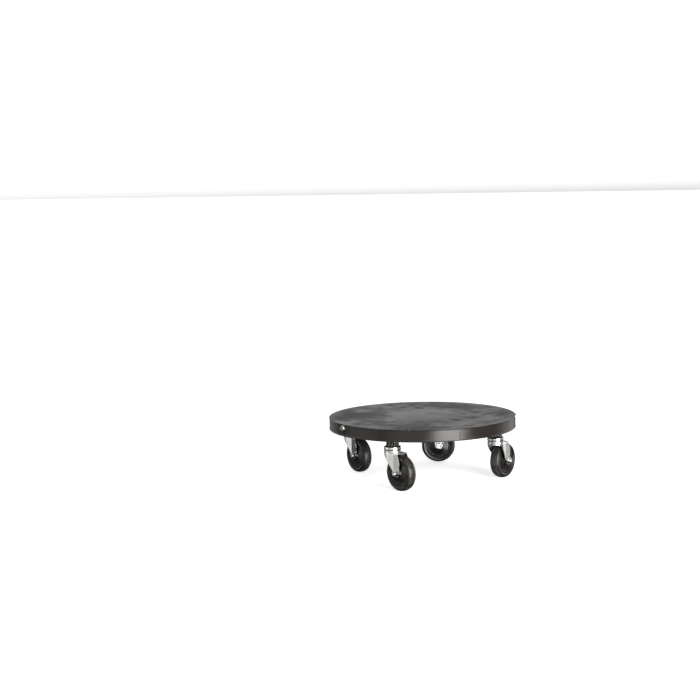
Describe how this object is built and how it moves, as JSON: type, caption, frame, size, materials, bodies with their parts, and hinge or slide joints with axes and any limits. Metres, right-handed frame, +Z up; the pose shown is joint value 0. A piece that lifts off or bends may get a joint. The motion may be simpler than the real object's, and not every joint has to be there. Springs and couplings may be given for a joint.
{
  "type": "wheel dolly",
  "caption": "Round steel platform with a down-turned rim on swivel casters, for moving and storing a flat stack of car wheels.",
  "frame": {"origin": "on the floor, under the centre of the round platform, with all four wheels standing on the floor", "axes": "+Z up; the cross channels lie along X and Y, so one caster swivels near each of +X (right), +Y (back), -X (left) and -Y (front)"},
  "size_m": [0.592, 0.5957, 0.1915],
  "materials": {
    "platform_paint": "satin brown-black enamel with faint brush-out and scuffs",
    "black_paint": "satin black enamel",
    "bright_zinc": "bright zinc plate on pressed steel, mottled",
    "bearing_steel": "polished, lightly greased",
    "black_plastic": "moulded, slightly shiny",
    "black_rubber": "worn matt tread with dust"
  },
  "bodies": {
    "platform": {"deck_plate": "platform_paint", "rim_band": "platform_paint", "cross_channel_long": "platform_paint", "cross_channel_back": "platform_paint", "cross_channel_front": "platform_paint", "centre_gusset": "platform_paint", "anchor_bolt_left": "bright_zinc", "anchor_nut_left": "bright_zinc", "anchor_bolt_right": "bright_zinc", "anchor_nut_right": "bright_zinc", "weld_nut_right": "black_paint", "lock_collar_right": "black_paint", "kingpin_right": "bearing_steel", "upper_race_right": "bright_zinc", "weld_nut_back": "black_paint", "lock_collar_back": "black_paint", "kingpin_back": "bearing_steel", "upper_race_back": "bright_zinc", "weld_nut_left": "black_paint", "lock_collar_left": "black_paint", "kingpin_left": "bearing_steel", "upper_race_left": "bright_zinc", "weld_nut_front": "black_paint", "lock_collar_front": "black_paint", "kingpin_front": "bearing_steel", "upper_race_front": "bright_zinc"},
    "caster_right": {"fork_right": "bright_zinc", "upper_ball_ring_right": "bearing_steel", "lower_ball_ring_right": "bearing_steel", "axle_bolt_right": "bright_zinc", "axle_nut_right": "bright_zinc", "axle_sleeve_right": "bearing_steel"},
    "wheel_right": {"wheel_core_right": "black_plastic", "tread_right": "black_rubber"},
    "caster_back": {"fork_back": "bright_zinc", "upper_ball_ring_back": "bearing_steel", "lower_ball_ring_back": "bearing_steel", "axle_bolt_back": "bright_zinc", "axle_nut_back": "bright_zinc", "axle_sleeve_back": "bearing_steel"},
    "wheel_back": {"wheel_core_back": "black_plastic", "tread_back": "black_rubber"},
    "caster_left": {"fork_left": "bright_zinc", "upper_ball_ring_left": "bearing_steel", "lower_ball_ring_left": "bearing_steel", "axle_bolt_left": "bright_zinc", "axle_nut_left": "bright_zinc", "axle_sleeve_left": "bearing_steel"},
    "wheel_left": {"wheel_core_left": "black_plastic", "tread_left": "black_rubber"},
    "caster_front": {"fork_front": "bright_zinc", "upper_ball_ring_front": "bearing_steel", "lower_ball_ring_front": "bearing_steel", "axle_bolt_front": "bright_zinc", "axle_nut_front": "bright_zinc", "axle_sleeve_front": "bearing_steel"},
    "wheel_front": {"wheel_core_front": "black_plastic", "tread_front": "black_rubber"}
  },
  "joints": [
    {"name": "swivel_right", "type": "hinge", "parent": "platform", "child": "caster_right", "pos_m": [0.246, 0, 0.12], "axis": [0, 0, 1], "continuous": true},
    {"name": "roll_right", "type": "hinge", "parent": "caster_right", "child": "wheel_right", "pos_m": [0.25491, 0.03797, 0.0553], "axis": [-0.9736, 0.2284, 0], "continuous": true},
    {"name": "swivel_back", "type": "hinge", "parent": "platform", "child": "caster_back", "pos_m": [0, 0.246, 0.12], "axis": [0, 0, 1], "continuous": true},
    {"name": "roll_back", "type": "hinge", "parent": "caster_back", "child": "wheel_back", "pos_m": [-0.03568, 0.23026, 0.0553], "axis": [0.4035, -0.915, 0], "continuous": true},
    {"name": "swivel_left", "type": "hinge", "parent": "platform", "child": "caster_left", "pos_m": [-0.246, 0, 0.12], "axis": [0, 0, 1], "continuous": true},
    {"name": "roll_left", "type": "hinge", "parent": "caster_left", "child": "wheel_left", "pos_m": [-0.213, -0.02078, 0.0553], "axis": [0.5329, 0.8462, 0], "continuous": true},
    {"name": "swivel_front", "type": "hinge", "parent": "platform", "child": "caster_front", "pos_m": [0, -0.246, 0.12], "axis": [0, 0, 1], "continuous": true},
    {"name": "roll_front", "type": "hinge", "parent": "caster_front", "child": "wheel_front", "pos_m": [0.03469, -0.26383, 0.0553], "axis": [0.4571, 0.8894, 0], "continuous": true}
  ]
}
